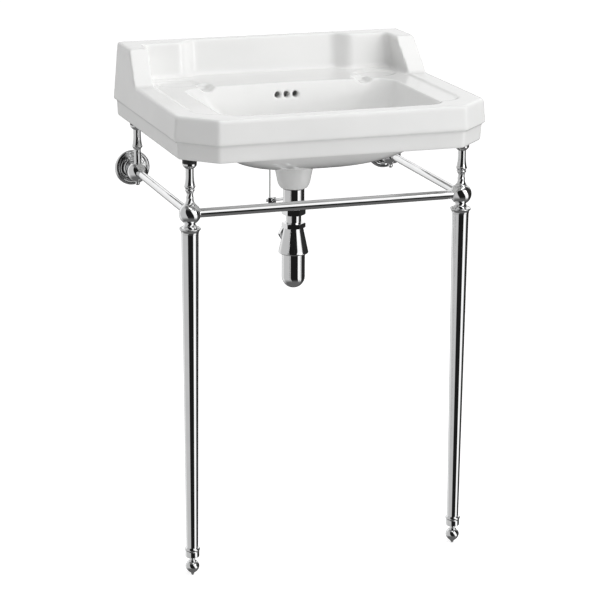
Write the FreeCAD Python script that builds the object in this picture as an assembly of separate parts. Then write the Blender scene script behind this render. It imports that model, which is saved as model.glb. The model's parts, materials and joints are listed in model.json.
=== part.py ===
"""Console sink: a glazed ceramic basin on a polished stand with two front legs, and its waste and trap.

Lengths are in millimetres. X runs to the right, Y towards the wall and Z up. The floor is Z = 0, X = 0 is the
plane of symmetry, and Y = 0 lies half way between the wall and the front of the basin.
"""
import FreeCAD, Part
import math
import os

from FreeCAD import Vector

# ---------------------------------------------------------------- driving dimensions: basin
BASIN_DEPTH = 470.0          # wall to the widest line of the skirt
BASIN_WIDTH = 567.0          # across the widest line of the skirt
RIM_HEIGHT = 837.0           # floor to the rim
UPSTAND_HEIGHT = 61.0        # rim to the top of the raised back
UPPER_BAND = 44.0            # height of the upper step of the skirt
LOWER_BAND = 31.0            # height of the lower step of the skirt
BAND_STEP = 6.0              # how far the lower step stands back
SIDE_LEAN = 0.085            # outward lean of the sides, per unit of drop
CORNER_CUT = 60.0            # cut front corners
CORNER_ROUND = 8.0
SKIRT_WALL = 13.0
DECK_WALL = 14.0
DECK_SINK = 3.0              # inner deck below the rim
RIM_BEAD_WIDTH = 35.0        # rim outside the inner deck
DECK_FRONT_MARGIN = 55.0     # front of the inner deck, from the front of the rim
DECK_CORNER = 40.0

WING_TOP_DEPTH = 85.0        # side wing of the raised back, from the wall
WING_FOOT_DEPTH = 139.0
WING_LEAN = 7.0              # how far the wings come inward at their top
SHOULDER_DEPTH = 38.0        # raised back beside the wings, at its top
BACK_DEPTH = 17.0            # raised back in the middle, at its top
BACK_LEAN = 8.0              # how far both come forward at their foot
BACK_HALF = 130.0            # half length of the middle stretch
SHOULDER_START = 170.0       # where the shoulder stretch starts, from X = 0
ALCOVE_CORNER = 12.0
EDGE_ROUND = 4.0

BOWL_REAR = 158.0            # bowl opening, from the wall, at its corners
BOWL_BOW = 11.0              # how far its rear edge bows back
BOWL_FRONT_MARGIN = 29.0     # bowl opening to the front of the rim
BOWL_HALF = 200.0
BOWL_WALL = 11.0
BOWL_DEPTH = 127.5           # rim to the outlet
OVERFLOW_HOLE_R = 5.75
OVERFLOW_PITCH = 17.0
OVERFLOW_DROP = 24.0         # below the rim
OVERFLOW_DEPTH = 14.0        # channel, front to back
OVERFLOW_SKIN = 6.0          # ceramic between the channel and the bowl, at the top
SOAP_X, SOAP_DEPTH_FROM_WALL = 190.0, 104.0
SOAP_HALF_X, SOAP_HALF_Y, SOAP_SINK = 42.0, 36.0, 2.5
NOTCH_X, NOTCH_TOP, NOTCH_FLOOR, NOTCH_SINK = 150.0, 32.0, 12.0, 8.0
TAP_BLANK_R, TAP_BLANK_FROM_WALL, TAP_BLANK_SKIN = 17.5, 76.0, 4.0
WALL_BOLT_PITCH, WALL_BOLT_R, WALL_BOLT_DROP = 280.0, 7.0, 52.0
LAND_R = 21.0
BACK_SPARE = 5.0             # trimmed off behind the wall plane

# ---------------------------------------------------------------- driving dimensions: stand
LEG_PITCH = 500.0            # between the leg axes
LEG_FROM_WALL = 386.0
RAIL_HEIGHT = 662.0
BALL_R = 19.0
FRONT_RAIL_R = 8.0
SIDE_RAIL_R = 7.0
REAR_BALL_FROM_WALL = 40.0
RAIL_SOCKET = 12.0           # rail end to the middle of its ball
ROSE_R, ROSE_THICK = 33.0, 12.0
WALL_PLATE_R, WALL_PLATE_THICK = 24.0, 4.0
WALL_SCREW_R, WALL_SCREW_PITCH = 2.5, 32.0
BOSS_R = 9.0
PAD_R, PAD_THICK = 12.5, 12.0
LEG_TOP_R, LEG_FOOT_R, LEG_WALL = 14.8, 10.2, 1.5
COLLAR_R = 18.7
SLEEVE_TOP_Z = 52.0          # top of the ring sleeve at the foot of the leg
SLEEVE_BOTTOM_Z = 35.0
FOOT_BULB_R = 12.3
FOOT_TRAVEL = 5.5
STUD_R = 4.0

# ---------------------------------------------------------------- driving dimensions: waste and trap
WASTE_FROM_WALL = 200.0
WASTE_BORE_R = 18.0
CUP_RIM_R, CUP_BELLY_R, CUP_END_R = 37.0, 31.0, 24.0
CUP_BELLY_Z, CUP_END_Z = 667.0, 649.5
FLANGE_R = 31.5
FLANGE_THICK = 2.5
SLEEVE_R, SLEEVE_WALL = 16.5, 2.0
SLEEVE_END_Z = 635.0
SEAL_THICK = 1.5
TAIL_R, TAIL_BORE = 19.5, 14.8
TAIL_END_Z = 603.5
TUBE_R, TUBE_WALL = 14.0, 1.5
HEX_FLATS = 38.0
HEX_TURN = -19.0             # the hexagons' flats face this way, in degrees about Z
INLET_NUT_Z, INLET_NUT_HEIGHT = 600.0, 12.0
CAP_NUT_Z, CAP_NUT_HEIGHT = 575.5, 9.0
NUT_LIP, WASHER_THICK = 2.5, 1.5
SPIGOT_R = 16.0
BELL_TOP_R, BELL_RIM_R = 17.6, 27.2
BELL_TOP_Z, BELL_RIM_Z = 575.5, 529.5
TUBE_TOP_Z, TUBE_END_Z = 608.0, 492.0
TRAP_CUP_R, TRAP_CUP_WALL = 21.2, 1.8
TRAP_CUP_TOP_Z, TRAP_CUP_BOTTOM_Z = 544.7, 462.0
OUTLET_Z = 557.0
OUTLET_PIPE_R, OUTLET_SPIGOT_R = 12.5, 14.5
OUTLET_NUT_FLATS, OUTLET_NUT_LENGTH = 33.0, 11.0
OUTLET_REACH = 32.0          # trap axis to the end of the outlet spigot

# ---------------------------------------------------------------- driving dimensions: pop-up linkage
PIVOT_Z = 624.0
PIVOT_BEHIND_AXIS = 25.0
PORT_R, PORT_NUT_R = 8.5, 10.5
LEVER_R, LEVER_BALL_R = 2.5, 5.0
LEVER_SLOPE = 14.5           # degrees that the outer arm falls at rest, with the plug up
LEVER_TURN = 20.0            # degrees from open to shut
ROD_FROM_WALL, ROD_X = 78.5, -6.0
ROD_R = 1.5
ROD_TOP_Z = 788.0
CLAMP_HALF_Y, CLAMP_HALF_Z = 2.5, 5.0
PLUG_R, PLUG_GROOVE_R, PLUG_STEM_R = 20.5, 11.5, 3.0

# ---------------------------------------------------------------- clearances
FIT = 0.15                   # between coaxial faces that are screwed or pushed together
RUN = 0.05                   # running fit
AIR = 0.30                   # between pieces that move past each other
SLACK = 0.95                 # round the lever, where the linkage is loose

# ---------------------------------------------------------------- derived places
WALL_Y = BASIN_DEPTH / 2
BAND_Z = RIM_HEIGHT - UPPER_BAND
SKIRT_Z = BAND_Z - LOWER_BAND
TOP_Z = RIM_HEIGHT + UPSTAND_HEIGHT
DECK_Z = RIM_HEIGHT - DECK_SINK
DECK_UNDER_Z = DECK_Z - DECK_WALL
HALF_WIDTH = BASIN_WIDTH / 2
RIM_HALF = HALF_WIDTH - UPPER_BAND * SIDE_LEAN
RIM_FRONT = BASIN_DEPTH - UPPER_BAND * SIDE_LEAN
OUTLET_SEAT_Z = RIM_HEIGHT - BOWL_DEPTH
CHANNEL_FRONT = BOWL_REAR - BOWL_BOW - OVERFLOW_SKIN
LEG_X = LEG_PITCH / 2
UP = Vector(0, 0, 1)
SIDES = (("left", -1), ("right", 1))


def y_at(from_wall):
    """The Y of a place given by its distance from the wall."""
    return WALL_Y - from_wall


def polygon(points):
    return Part.Wire(Part.makePolygon(points + [points[0]]).Edges)


def revolved(profile, axis_x=0.0, axis_y=0.0):
    """A solid of revolution about an upright axis, from a list of (radius, z)."""
    points = [Vector(axis_x + r, axis_y, z) for r, z in profile]
    face = Part.Face(polygon(points))
    return face.revolve(Vector(axis_x, axis_y, 0), UP, 360)


def turned(segments, axis_x=0.0, axis_y=0.0):
    """A turned piece about an upright axis. Each segment is a line (r, z) or an arc ((r, z), (r, z)) that goes
    through its first point; the outline starts and ends on the axis."""
    edges = []
    last = Vector(axis_x + segments[0][0], axis_y, segments[0][1])
    start = last
    for item in segments[1:]:
        if isinstance(item[0], tuple):
            middle = Vector(axis_x + item[0][0], axis_y, item[0][1])
            end = Vector(axis_x + item[1][0], axis_y, item[1][1])
            edges.append(Part.Arc(last, middle, end).toShape())
        else:
            end = Vector(axis_x + item[0], axis_y, item[1])
            edges.append(Part.makeLine(last, end))
        last = end
    edges.append(Part.makeLine(last, start))
    return Part.Face(Part.Wire(edges)).revolve(Vector(axis_x, axis_y, 0), UP, 360)


def cylinder(radius, start, end):
    start, end = Vector(*start), Vector(*end)
    return Part.makeCylinder(radius, (end - start).Length, start, end - start)


def ring(outer, inner, z, height, x=0.0, y=0.0):
    return revolved([(inner, z), (outer, z), (outer, z + height), (inner, z + height)], x, y)


def hex_nut(flats, bore, z, height, x, y, turn, chamfer=1.6):
    """A hexagonal nut with its corners turned off, standing on z."""
    corner = flats / math.sqrt(3)
    points = []
    for step in range(6):
        angle = math.radians(turn + 60 * step)
        points.append(Vector(x + corner * math.cos(angle), y + corner * math.sin(angle), z))
    body = Part.Face(polygon(points)).extrude(UP * height)
    bevel = chamfer * 0.6
    turned_off = revolved([(0, z), (corner - chamfer, z), (corner + FIT, z + bevel),
                           (corner + FIT, z + height - bevel), (corner - chamfer, z + height), (0, z + height)], x, y)
    return body.common(turned_off).cut(cylinder(bore, (x, y, z - 1), (x, y, z + height + 1)))


def lay_back(shape, x, y, z):
    """Turns a piece made about the Z axis so that its +Z points to the wall, at a place."""
    shape.rotate(Vector(0, 0, 0), Vector(1, 0, 0), -90)
    shape.translate(Vector(x, y, z))
    return shape


def edges_where(shape, test):
    return [edge for edge in shape.Edges if test(edge)]


# ---------------------------------------------------------------- basin
def cut_at(inset):
    """The corner cut of an outline that lies this far inside the widest one, for an even wall."""
    return CORNER_CUT - 0.6 * inset


def skirt_outline(z, half, front, cut):
    """The plan of the basin at one height: straight back and sides, cut front corners. The back runs on past the
    wall plane, and is trimmed flat to it at the end."""
    back = WALL_Y + BACK_SPARE
    return polygon([
        Vector(-half, back, z), Vector(half, back, z),
        Vector(half, y_at(front - cut), z), Vector(half - cut, y_at(front), z),
        Vector(-half + cut, y_at(front), z), Vector(-half, y_at(front - cut), z)])


def skirt_block(low_z, high_z, half, front):
    """A block with leaning sides, whose half width and front are those at its foot."""
    inset = (high_z - low_z) * SIDE_LEAN
    foot = skirt_outline(low_z, half, front, CORNER_CUT)
    head = skirt_outline(high_z, half - inset, front - inset, cut_at(inset))
    return Part.makeLoft([foot, head], True, True)


def alcove_outline(z, shoulder, back, half):
    """The plan of the space in front of the raised back: shoulders, an S curve and the middle stretch."""
    front = y_at(RIM_FRONT - DECK_FRONT_MARGIN)
    shoulder_y, back_y = y_at(shoulder), y_at(back)
    bend_x = (BACK_HALF + SHOULDER_START) / 2
    bend_y = (shoulder_y + back_y) / 2
    r, c = DECK_CORNER, ALCOVE_CORNER
    q = 1 - math.sqrt(0.5)

    def s_curve(side):
        far = Vector(side * SHOULDER_START, shoulder_y, z)
        near = Vector(side * BACK_HALF, back_y, z)
        middle = Vector(side * bend_x, bend_y, z)
        lead = Vector(side * (SHOULDER_START - BACK_HALF) * 0.45, 0, 0)
        first = Part.BezierCurve()
        first.setPoles([near, near + lead, far - lead, far])
        return first.toShape(), near, far, middle

    right, right_near, right_far, _ = s_curve(1)
    left, left_near, left_far, _ = s_curve(-1)
    corner_r = Vector(half, shoulder_y - c, z)
    corner_l = Vector(-half, shoulder_y - c, z)
    edges = [
        Part.makeLine(left_near, right_near), right,
        Part.makeLine(right_far, Vector(half - c, shoulder_y, z)),
        Part.Arc(Vector(half - c, shoulder_y, z), Vector(half - c * q, shoulder_y - c * q, z), corner_r).toShape(),
        Part.makeLine(corner_r, Vector(half, front + r, z)),
        Part.Arc(Vector(half, front + r, z), Vector(half - r * q, front + r * q, z),
                 Vector(half - r, front, z)).toShape(),
        Part.makeLine(Vector(half - r, front, z), Vector(-half + r, front, z)),
        Part.Arc(Vector(-half + r, front, z), Vector(-half + r * q, front + r * q, z),
                 Vector(-half, front + r, z)).toShape(),
        Part.makeLine(Vector(-half, front + r, z), corner_l),
        Part.Arc(corner_l, Vector(-half + c * q, shoulder_y - c * q, z), Vector(-half + c, shoulder_y, z)).toShape(),
        Part.makeLine(Vector(-half + c, shoulder_y, z), left_far), left]
    return Part.Wire(Part.__sortEdges__(edges))


def bowl_section(z, half, rear, front, corner, bow=0.0):
    """A rounded rectangle in plan, with its rear edge bowed back."""
    y_rear, y_front = y_at(rear), y_at(front)
    q = corner * (1 - math.sqrt(0.5))
    ring_points = [
        (Vector(-half + corner, y_rear, z), Vector(0, y_rear + bow, z), Vector(half - corner, y_rear, z)),
        (None, Vector(half - q, y_rear - q, z), Vector(half, y_rear - corner, z)),
        (None, None, Vector(half, y_front + corner, z)),
        (None, Vector(half - q, y_front + q, z), Vector(half - corner, y_front, z)),
        (None, None, Vector(-half + corner, y_front, z)),
        (None, Vector(-half + q, y_front + q, z), Vector(-half, y_front + corner, z)),
        (None, None, Vector(-half, y_rear - corner, z)),
        (None, Vector(-half + q, y_rear - q, z), Vector(-half + corner, y_rear, z))]
    edges = []
    last = ring_points[0][0]
    for _, middle, end in ring_points:
        if middle is None or (middle.y == end.y):
            edges.append(Part.makeLine(last, end))
        else:
            edges.append(Part.Arc(last, middle, end).toShape())
        last = end
    return Part.Wire(edges)


def bowl_solid(wall):
    """The bowl as a solid: its inner face with wall 0, its underside with the ceramic's thickness."""
    front = RIM_FRONT - BOWL_FRONT_MARGIN
    seat = OUTLET_SEAT_Z - wall
    top = RIM_HEIGHT + EDGE_ROUND if wall == 0 else DECK_UNDER_Z + DECK_WALL / 2
    drop = top - seat
    rear, half = BOWL_REAR, BOWL_HALF
    if wall:
        rows = [(top, half - 14, rear + 13, front - 8, 46, 4)]
    else:
        rows = [(top, half + 3, rear - 3, front + 2, 40, BOWL_BOW), (RIM_HEIGHT - 22, half - 9, rear + 6, front - 5, 44, 6)]
    rows += [
        (seat + drop * 0.50, half - 30, rear + 9, front - 26, 62, 2),
        (seat + drop * 0.24, half - 65, rear + 9, front - 74, 66, 1),
        (seat + drop * 0.07, half - 118, rear + 9, front - 140, 56, 1),
        (seat, FLANGE_R + 8, rear + 9, rear + 9 + 2 * (FLANGE_R + 6), FLANGE_R + 2, 0.5)]
    wires = []
    for z, half_x, rear_d, front_d, corner, bow in rows:
        wires.append(bowl_section(z, half_x + wall, rear_d - wall, front_d + wall, corner + wall * 0.5, bow))
    return Part.makeLoft(wires, True, False)


def outlet_cup():
    """The ceramic outlet below the bowl."""
    top = OUTLET_SEAT_Z - BOWL_WALL - 2
    return turned([(0, top), (CUP_RIM_R, top), (CUP_BELLY_R, CUP_BELLY_Z),
                   ((CUP_BELLY_R - 2.2, CUP_BELLY_Z - 9.5), (CUP_END_R, CUP_END_Z + 0.6)),
                   (CUP_END_R - 1.5, CUP_END_Z), (0, CUP_END_Z)], 0, y_at(WASTE_FROM_WALL))


def box(half_x, near, far, low, high):
    """A block that is centred on X = 0 and lies between two distances from the wall."""
    return Part.makeBox(2 * half_x, far - near, high - low, Vector(-half_x, y_at(far), low))


def overflow_channel():
    """The hollow behind the bowl that leads the overflow down to the outlet."""
    half = OVERFLOW_PITCH + OVERFLOW_HOLE_R + 6
    front = CHANNEL_FRONT
    top = RIM_HEIGHT - OVERFLOW_DROP + OVERFLOW_HOLE_R + 3
    floor = OUTLET_SEAT_Z - 27
    fall = box(half, front - OVERFLOW_DEPTH, front, OUTLET_SEAT_Z - 13, top)
    sump = box(half / 2, front - OVERFLOW_DEPTH, front, floor, OUTLET_SEAT_Z - 12)
    mouth = box(half / 2, front - 4, WASTE_FROM_WALL - WASTE_BORE_R / 2, floor, floor + 12)
    return fall.fuse([sump, mouth])


def overflow_cover():
    """The ceramic round that hollow."""
    half = OVERFLOW_PITCH + OVERFLOW_HOLE_R + 6 + 9
    front = BOWL_REAR + 8
    rear = CHANNEL_FRONT - OVERFLOW_DEPTH - 9
    cover = box(half, rear, front, OUTLET_SEAT_Z - 18, DECK_UNDER_Z + 4)
    cover = cover.makeFillet(6, edges_where(cover, lambda e: abs(e.tangentAt(e.FirstParameter).z) > 0.9
                                            and e.CenterOfMass.y > y_at(rear + 2)))
    sump = box(half / 2 + 3, rear + 4, front + 6, OUTLET_SEAT_Z - 35, OUTLET_SEAT_Z - 10)
    return cover.fuse(sump)


def soap_rest(side):
    """A shallow oval dish in the deck, with the notch that drains it into the bowl."""
    def oval(z, grow):
        curve = Part.Ellipse(Vector(0, 0, 0), SOAP_HALF_X + grow, SOAP_HALF_Y + grow).toShape()
        curve.translate(Vector(side * SOAP_X, y_at(SOAP_DEPTH_FROM_WALL), z))
        return Part.Wire([curve])

    dish = Part.makeLoft([oval(DECK_Z - SOAP_SINK, -9), oval(DECK_Z + 1, 2)], True, True)
    over = 2.0
    flare = (NOTCH_TOP - NOTCH_FLOOR) / 2
    grow = flare * over / NOTCH_SINK
    x = side * NOTCH_X
    start = y_at(SOAP_DEPTH_FROM_WALL + SOAP_HALF_Y * 0.5)
    notch = Part.Face(polygon([
        Vector(x - NOTCH_FLOOR / 2, start, DECK_Z - NOTCH_SINK), Vector(x + NOTCH_FLOOR / 2, start, DECK_Z - NOTCH_SINK),
        Vector(x + NOTCH_TOP / 2 + grow, start, DECK_Z + over), Vector(x - NOTCH_TOP / 2 - grow, start, DECK_Z + over)]))
    return dish.fuse(notch.extrude(Vector(0, y_at(BOWL_REAR + 30) - start, 0)))


def raised_block():
    """The upper step of the skirt with the raised back and its wings, all edges rounded."""
    block = skirt_block(BAND_Z, TOP_Z, HALF_WIDTH, BASIN_DEPTH)
    middle = y_at(BASIN_DEPTH / 2)
    block = block.makeFillet(CORNER_ROUND, edges_where(
        block, lambda e: abs(e.tangentAt(e.FirstParameter).z) > 0.9 and e.CenterOfMass.y < middle))

    above = TOP_Z + 20
    reach = BASIN_WIDTH
    slope = (WING_FOOT_DEPTH - WING_TOP_DEPTH) / UPSTAND_HEIGHT
    far = y_at(BASIN_DEPTH + 50)
    block = block.cut(Part.Face(polygon([
        Vector(-reach, y_at(WING_FOOT_DEPTH), RIM_HEIGHT),
        Vector(-reach, y_at(WING_TOP_DEPTH - slope * (above - TOP_Z)), above),
        Vector(-reach, far, above), Vector(-reach, far, RIM_HEIGHT)])).extrude(Vector(2 * reach, 0, 0)))

    inner_half = RIM_HALF - RIM_BEAD_WIDTH
    lean = BACK_LEAN * (above - TOP_Z) / (TOP_Z - DECK_Z)
    wing_lean = WING_LEAN * (above - DECK_Z) / (TOP_Z - DECK_Z)
    block = block.cut(Part.makeLoft([
        alcove_outline(DECK_Z, SHOULDER_DEPTH + BACK_LEAN, BACK_DEPTH + BACK_LEAN, inner_half),
        alcove_outline(above, SHOULDER_DEPTH - lean, BACK_DEPTH - lean, inner_half - wing_lean)], True, True))

    wing_foot_y = y_at(WING_FOOT_DEPTH)
    deck_front = y_at(RIM_FRONT - DECK_FRONT_MARGIN)

    def level(edge, z):
        return abs(edge.CenterOfMass.z - z) < 0.6 and edge.BoundBox.ZLength < 0.6

    def on_rim(edge):
        c = edge.CenterOfMass
        inner = abs(c.x) < inner_half + 1 and c.y > deck_front - 5
        return level(edge, RIM_HEIGHT) and not inner and abs(c.y - wing_foot_y) > 2

    def wing_foot(edge):
        return level(edge, RIM_HEIGHT) and abs(edge.CenterOfMass.y - wing_foot_y) < 2 and edge.BoundBox.YLength < 2

    block = block.makeFillet(EDGE_ROUND + 1, edges_where(block, on_rim))
    block = block.makeFillet(2 * EDGE_ROUND + 1, edges_where(block, wing_foot))
    block = block.makeFillet(2 * EDGE_ROUND, edges_where(
        block, lambda e: level(e, DECK_Z) and e.CenterOfMass.y > y_at(SHOULDER_DEPTH + 40)))
    return block.makeFillet(EDGE_ROUND, edges_where(
        block, lambda e: level(e, TOP_Z) and e.CenterOfMass.y < WALL_Y - 1))


def lower_step():
    lean = LOWER_BAND * SIDE_LEAN * 0.6
    foot = BAND_STEP + lean
    block = Part.makeLoft([
        skirt_outline(SKIRT_Z, HALF_WIDTH - foot, BASIN_DEPTH - foot, cut_at(foot)),
        skirt_outline(BAND_Z, HALF_WIDTH - BAND_STEP, BASIN_DEPTH - BAND_STEP, cut_at(BAND_STEP))], True, True)
    middle = y_at(BASIN_DEPTH / 2)
    return block.makeFillet(CORNER_ROUND, edges_where(
        block, lambda e: abs(e.tangentAt(e.FirstParameter).z) > 0.9 and e.CenterOfMass.y < middle))


def basin():
    waste_y = y_at(WASTE_FROM_WALL)
    body = raised_block().fuse(lower_step())

    inset = BAND_STEP + SKIRT_WALL + LOWER_BAND * SIDE_LEAN
    outline = skirt_outline(SKIRT_Z - 1, HALF_WIDTH - inset, BASIN_DEPTH - inset, cut_at(inset))
    hollow = Part.Face(outline).extrude(UP * (DECK_UNDER_Z - SKIRT_Z + 1))
    back_wall = Part.makeBox(BASIN_WIDTH, SKIRT_WALL + 2 * BACK_SPARE, UPSTAND_HEIGHT + LOWER_BAND + UPPER_BAND,
                             Vector(-HALF_WIDTH, WALL_Y - SKIRT_WALL, SKIRT_Z - 2))
    hollow = hollow.cut(back_wall)
    body = body.cut(hollow)

    lands = []
    for x in (-LEG_X, LEG_X):
        for from_wall in (LEG_FROM_WALL, REAR_BALL_FROM_WALL):
            y = y_at(from_wall)
            lands.append(cylinder(LAND_R, (x, y, SKIRT_Z), (x, y, DECK_UNDER_Z + 2)))
    body = body.fuse([bowl_solid(BOWL_WALL), outlet_cup(), overflow_cover()] + lands)
    body = body.cut(Part.makeBox(2 * BASIN_WIDTH, 50, TOP_Z, Vector(-BASIN_WIDTH, WALL_Y, SKIRT_Z - 10)))

    body = body.cut(bowl_solid(0))
    body = body.cut(cylinder(WASTE_BORE_R, (0, waste_y, CUP_END_Z - 5), (0, waste_y, OUTLET_SEAT_Z + 5)))
    body = body.cut(overflow_channel())
    hole_z = RIM_HEIGHT - OVERFLOW_DROP
    for step in (-1, 0, 1):
        x = step * OVERFLOW_PITCH
        start, end = (x, y_at(CHANNEL_FRONT - 2), hole_z), (x, y_at(BOWL_REAR + 22), hole_z)
        body = body.cut(cylinder(OVERFLOW_HOLE_R, start, end))
    for side in (-1, 1):
        body = body.cut(soap_rest(side))
        x, z = side * WALL_BOLT_PITCH / 2, RIM_HEIGHT - WALL_BOLT_DROP
        body = body.cut(cylinder(WALL_BOLT_R, (x, WALL_Y + 1, z), (x, WALL_Y - SKIRT_WALL - 1, z)))
    blank_y = y_at(TAP_BLANK_FROM_WALL)
    return body.cut(cylinder(TAP_BLANK_R, (0, blank_y, DECK_UNDER_Z - 1), (0, blank_y, DECK_Z - TAP_BLANK_SKIN)))


# ---------------------------------------------------------------- stand
PAD_Z = SKIRT_Z - PAD_THICK
BALL_FLAT = 15.5             # the balls are cut flat this far from their middle, where a piece seats
STUD_SOCKET = 8.0            # sockets in the balls start this far from the middle
SOCKET_STUD_R = 5.0
GRUB_R, GRUB_OUT = 2.0, 13.5
BALL_TOP_Z, BALL_BOTTOM_Z = RAIL_HEIGHT + BALL_FLAT, RAIL_HEIGHT - BALL_FLAT
LEG_Y, REAR_Y = y_at(LEG_FROM_WALL), y_at(REAR_BALL_FROM_WALL)


def ball(x, y, sockets):
    """A ball fitting. Sockets are (direction, radius, start); the grub screws stand under the rail sockets."""
    centre = Vector(x, y, RAIL_HEIGHT)
    body = Part.makeSphere(BALL_R, centre)
    for direction, radius, start, flat, grub in sockets:
        d = Vector(*direction)
        if flat:
            body = body.cut(Part.makeCylinder(BALL_R, BALL_R, centre + d * BALL_FLAT, d))
        body = body.cut(Part.makeCylinder(radius, BALL_R, centre + d * start, d))
        if grub:
            foot = centre + d * GRUB_OUT + Vector(0, 0, -BALL_R)
            body = body.cut(Part.makeCylinder(GRUB_R + FIT / 2, BALL_R, foot, UP))
    return body


def front_ball(side):
    return ball(side * LEG_X, LEG_Y, [
        ((0, 0, 1), SOCKET_STUD_R + FIT, STUD_SOCKET, True, False),
        ((0, 0, -1), SOCKET_STUD_R + FIT, STUD_SOCKET, True, False),
        ((-side, 0, 0), FRONT_RAIL_R + FIT, RAIL_SOCKET, False, True),
        ((0, 1, 0), SIDE_RAIL_R + FIT, RAIL_SOCKET, False, True)])


def rear_ball(side):
    return ball(side * LEG_X, REAR_Y, [
        ((0, 0, 1), SOCKET_STUD_R + FIT, STUD_SOCKET, True, False),
        ((0, 0, -1), FINIAL_STUD_R + FIT, STUD_SOCKET, True, False),
        ((0, -1, 0), SIDE_RAIL_R + FIT, RAIL_SOCKET, False, True),
        ((0, 1, 0), SOCKET_STUD_R + FIT, STUD_SOCKET, True, False)])


def grub_screws():
    """Six set screws, each under the end of a rail."""
    pieces = []
    for side in (-1, 1):
        places = [(side * (LEG_X - GRUB_OUT), LEG_Y, FRONT_RAIL_R), (side * LEG_X, LEG_Y + GRUB_OUT, SIDE_RAIL_R),
                  (side * LEG_X, REAR_Y - GRUB_OUT, SIDE_RAIL_R)]
        skin = math.sqrt(BALL_R ** 2 - (GRUB_OUT + GRUB_R) ** 2) - 0.6
        for x, y, rail_r in places:
            screw = cylinder(GRUB_R, (x, y, RAIL_HEIGHT - skin), (x, y, RAIL_HEIGHT - rail_r - FIT))
            slot = Part.makeBox(0.6, 3 * GRUB_R, 0.8, Vector(x - 0.3, y - 1.5 * GRUB_R, RAIL_HEIGHT - skin))
            pieces.append(screw.cut(slot))
    return Part.makeCompound(pieces)


def front_rail():
    reach = LEG_X - RAIL_SOCKET - FIT
    return cylinder(FRONT_RAIL_R, (-reach, LEG_Y, RAIL_HEIGHT), (reach, LEG_Y, RAIL_HEIGHT))


def side_rail(side):
    x = side * LEG_X
    return cylinder(SIDE_RAIL_R, (x, LEG_Y + RAIL_SOCKET + FIT, RAIL_HEIGHT),
                    (x, REAR_Y - RAIL_SOCKET - FIT, RAIL_HEIGHT))


PILLAR_FLANGE_R, PILLAR_STEM_R = 12.5, 7.0
BEAD_R, BEAD_Z = 9.8, 710.0
SMALL_BEAD_R, SMALL_BEAD_Z = 8.5, 703.2
NECK_R, NECK_Z = 5.8, 697.0


def pillar_top():
    """The outline that front and rear pillars share, from the pad down to the bead."""
    return [(0, PAD_Z), (PILLAR_FLANGE_R, PAD_Z), (PILLAR_FLANGE_R, PAD_Z - 3),
            ((PILLAR_FLANGE_R - 2.4, PAD_Z - 6.2), (PILLAR_STEM_R, PAD_Z - 9)),
            (PILLAR_STEM_R, BEAD_Z + 19),
            ((PILLAR_STEM_R + 0.7, BEAD_Z + 9), (BEAD_R - 0.9, BEAD_Z + 2)),
            ((BEAD_R, BEAD_Z), (BEAD_R - 0.9, BEAD_Z - 2))]


def front_pillar(side):
    seat = BALL_TOP_Z
    outline = pillar_top() + [
        (SMALL_BEAD_R - 1.2, SMALL_BEAD_Z + 2.2), ((SMALL_BEAD_R, SMALL_BEAD_Z), (SMALL_BEAD_R - 1.2, SMALL_BEAD_Z - 2)),
        ((NECK_R, NECK_Z), (NECK_R + 1.0, NECK_Z - 7)), ((NECK_R + 2.2, seat + 4), (10.4, seat + 1.2)),
        (10.4, seat), (SOCKET_STUD_R, seat), (SOCKET_STUD_R, RAIL_HEIGHT + STUD_SOCKET + FIT),
        (0, RAIL_HEIGHT + STUD_SOCKET + FIT)]
    return turned(outline, side * LEG_X, LEG_Y)


def rear_pillar(side):
    seat = BALL_TOP_Z
    outline = pillar_top() + [
        ((NECK_R + 1.0, BEAD_Z - 5.5), (NECK_R + 0.7, BEAD_Z - 10)), (NECK_R + 0.7, seat), (SOCKET_STUD_R, seat),
        (SOCKET_STUD_R, RAIL_HEIGHT + STUD_SOCKET + FIT), (0, RAIL_HEIGHT + STUD_SOCKET + FIT)]
    return turned(outline, side * LEG_X, REAR_Y)


def basin_pads():
    """Four rubber pads, each between a pillar and its land."""
    return Part.makeCompound([cylinder(PAD_R, (x, y, PAD_Z), (x, y, SKIRT_Z))
                              for x in (-LEG_X, LEG_X) for y in (LEG_Y, REAR_Y)])


FINIAL_STUD_R, FINIAL_R = 3.0, 4.2


def finial(side):
    seat = BALL_BOTTOM_Z
    return turned([(0, RAIL_HEIGHT - STUD_SOCKET - FIT), (FINIAL_STUD_R, RAIL_HEIGHT - STUD_SOCKET - FIT),
                   (FINIAL_STUD_R, seat), (FINIAL_R + 2, seat), (FINIAL_R + 2, seat - 1), ((FINIAL_R + 0.4, seat - 2), (FINIAL_R - 0.4, seat - 4.5)),
                   ((FINIAL_R, seat - 7.5), (2.2, seat - 10)), (0, seat - 10)], side * LEG_X, REAR_Y)


COLLAR_SEAT_Z = 627.0
LEG_PLUG_DEPTH = 18.0


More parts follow.
